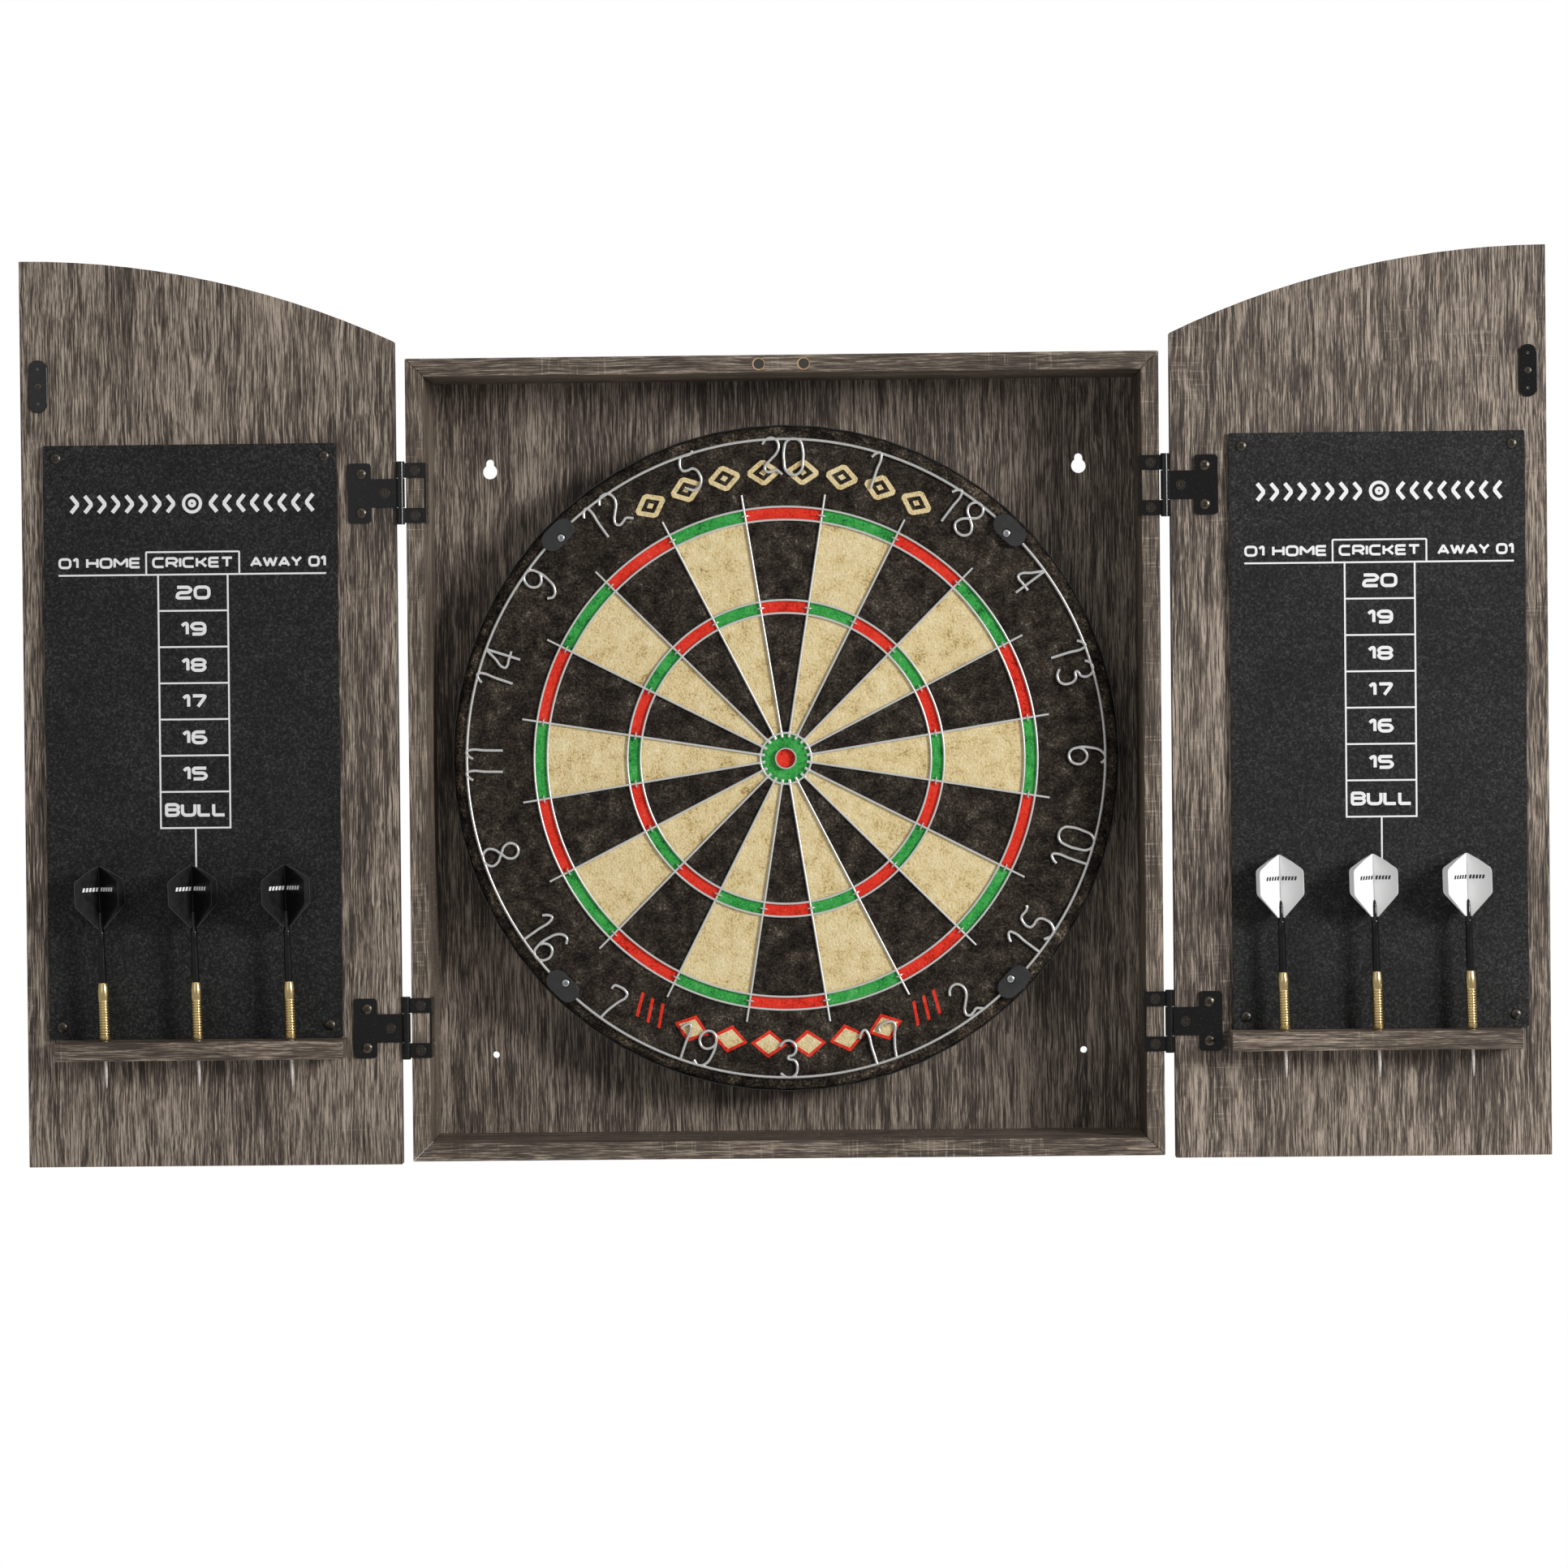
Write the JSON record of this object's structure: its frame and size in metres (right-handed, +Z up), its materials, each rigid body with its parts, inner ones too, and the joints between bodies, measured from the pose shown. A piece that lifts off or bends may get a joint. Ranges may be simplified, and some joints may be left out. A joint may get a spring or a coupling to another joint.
{
  "type": "dartboard cabinet",
  "caption": "Wall-hung cabinet with two arched doors that open flat, a round dartboard inside, and on each door a chalk scoreboard, a dart holder with darts and a strike plate.",
  "frame": {"origin": "on the wall plane, at the middle of the back panel's rear face behind the bull", "axes": "+X to the viewer's right, +Y into the wall, +Z up"},
  "size_m": [1.0184, 0.1211, 0.6065],
  "materials": {
    "dark_oak_laminate": "MDF boards in a dark grey-brown oak laminate, matt, grain along each board",
    "black_scoreboard": "black speckled hardboard with white printed scoring columns",
    "black_hinge_steel": "gloss black lacquered steel",
    "zinc_steel": "bright zinc plating",
    "plated_wire": "bright plated steel wire",
    "sisal": "end-grain sisal fibre, dyed black, red and green in the scoring beds",
    "chipboard": "raw chipboard backing",
    "black_band_steel": "black lacquered steel strip",
    "clip_plastic": "moulded black plastic",
    "rubber": "black rubber pad",
    "magnet": "nickel-plated magnet",
    "brass": "turned and ringed brass, with a ground steel point",
    "nylon": "black moulded nylon",
    "black_flight_film": "black polyester film",
    "white_flight_film": "white polyester film"
  },
  "bodies": {
    "cabinet": {"frame_top_rail": "dark_oak_laminate", "frame_bottom_rail": "dark_oak_laminate", "frame_left_side": "dark_oak_laminate", "frame_right_side": "dark_oak_laminate", "back_panel": "dark_oak_laminate", "catch_magnet_left": "magnet", "catch_magnet_right": "magnet", "board_bracket": "zinc_steel", "hinge_left_upper_frame_leaf": "black_hinge_steel", "hinge_left_upper_pin": "zinc_steel", "hinge_left_lower_frame_leaf": "black_hinge_steel", "hinge_left_lower_pin": "zinc_steel", "hinge_right_upper_frame_leaf": "black_hinge_steel", "hinge_right_upper_pin": "zinc_steel", "hinge_right_lower_frame_leaf": "black_hinge_steel", "hinge_right_lower_pin": "zinc_steel"},
    "dartboard": {"board_hanger_screw": "zinc_steel", "board_backing": "chipboard", "board_sisal": "sisal", "board_band": "black_band_steel", "spider_wire": "plated_wire", "bull_ring": "plated_wire", "number_ring": "plated_wire", "board_pad_1": "rubber", "board_pad_2": "rubber", "board_pad_3": "rubber"},
    "ring_clip_1": {"ring_clip_1": "clip_plastic"},
    "ring_clip_2": {"ring_clip_2": "clip_plastic"},
    "ring_clip_3": {"ring_clip_3": "clip_plastic"},
    "ring_clip_4": {"ring_clip_4": "clip_plastic"},
    "left_door": {"door_left": "dark_oak_laminate", "scoreboard_left": "black_scoreboard", "dart_holder_left": "dark_oak_laminate", "strike_plate_left": "black_hinge_steel", "hinge_left_upper_door_leaf": "black_hinge_steel", "hinge_left_lower_door_leaf": "black_hinge_steel"},
    "right_door": {"door_right": "dark_oak_laminate", "scoreboard_right": "black_scoreboard", "dart_holder_right": "dark_oak_laminate", "strike_plate_right": "black_hinge_steel", "hinge_right_upper_door_leaf": "black_hinge_steel", "hinge_right_lower_door_leaf": "black_hinge_steel"},
    "dart_left_1": {"dart_left_1_barrel": "brass", "dart_left_1_shaft": "nylon", "dart_left_1_flight": "black_flight_film"},
    "dart_left_2": {"dart_left_2_barrel": "brass", "dart_left_2_shaft": "nylon", "dart_left_2_flight": "black_flight_film"},
    "dart_left_3": {"dart_left_3_barrel": "brass", "dart_left_3_shaft": "nylon", "dart_left_3_flight": "black_flight_film"},
    "dart_right_1": {"dart_right_1_barrel": "brass", "dart_right_1_shaft": "nylon", "dart_right_1_flight": "white_flight_film"},
    "dart_right_2": {"dart_right_2_barrel": "brass", "dart_right_2_shaft": "nylon", "dart_right_2_flight": "white_flight_film"},
    "dart_right_3": {"dart_right_3_barrel": "brass", "dart_right_3_shaft": "nylon", "dart_right_3_flight": "white_flight_film"}
  },
  "joints": [
    {"name": "left_door_hinge", "type": "hinge", "parent": "cabinet", "child": "left_door", "pos_m": [-0.2551, -0.0879, 0], "axis": [0, 0, 1], "range_deg": [-15, 180]},
    {"name": "right_door_hinge", "type": "hinge", "parent": "cabinet", "child": "right_door", "pos_m": [0.2551, -0.0879, 0], "axis": [0, 0, -1], "range_deg": [-15, 180]},
    {"name": "board_turn", "type": "hinge", "parent": "cabinet", "child": "dartboard", "pos_m": [0, -0.012, 0], "axis": [0, 1, 0], "continuous": true},
    {"name": "clip_turn_1", "type": "hinge", "parent": "dartboard", "child": "ring_clip_1", "pos_m": [0.15026, -0.0528, 0.15026], "axis": [0, 1, 0], "range_deg": [-90, 90]},
    {"name": "clip_turn_2", "type": "hinge", "parent": "dartboard", "child": "ring_clip_2", "pos_m": [-0.15026, -0.0528, 0.15026], "axis": [0, 1, 0], "range_deg": [-90, 90]},
    {"name": "clip_turn_3", "type": "hinge", "parent": "dartboard", "child": "ring_clip_3", "pos_m": [-0.15026, -0.0528, -0.15026], "axis": [0, 1, 0], "range_deg": [-90, 90]},
    {"name": "clip_turn_4", "type": "hinge", "parent": "dartboard", "child": "ring_clip_4", "pos_m": [0.15026, -0.0528, -0.15026], "axis": [0, 1, 0], "range_deg": [-90, 90]},
    {"name": "dart_left_1_lift", "type": "slide", "parent": "left_door", "child": "dart_left_1", "axis": [-0.0262, 0, 0.9997], "range_m": [0, 0.045]},
    {"name": "dart_left_2_lift", "type": "slide", "parent": "left_door", "child": "dart_left_2", "axis": [-0.0262, 0, 0.9997], "range_m": [0, 0.045]},
    {"name": "dart_left_3_lift", "type": "slide", "parent": "left_door", "child": "dart_left_3", "axis": [-0.0262, 0, 0.9997], "range_m": [0, 0.045]},
    {"name": "dart_right_1_lift", "type": "slide", "parent": "right_door", "child": "dart_right_1", "axis": [-0.0262, 0, 0.9997], "range_m": [0, 0.045]},
    {"name": "dart_right_2_lift", "type": "slide", "parent": "right_door", "child": "dart_right_2", "axis": [-0.0262, 0, 0.9997], "range_m": [0, 0.045]},
    {"name": "dart_right_3_lift", "type": "slide", "parent": "right_door", "child": "dart_right_3", "axis": [-0.0262, 0, 0.9997], "range_m": [0, 0.045]}
  ]
}
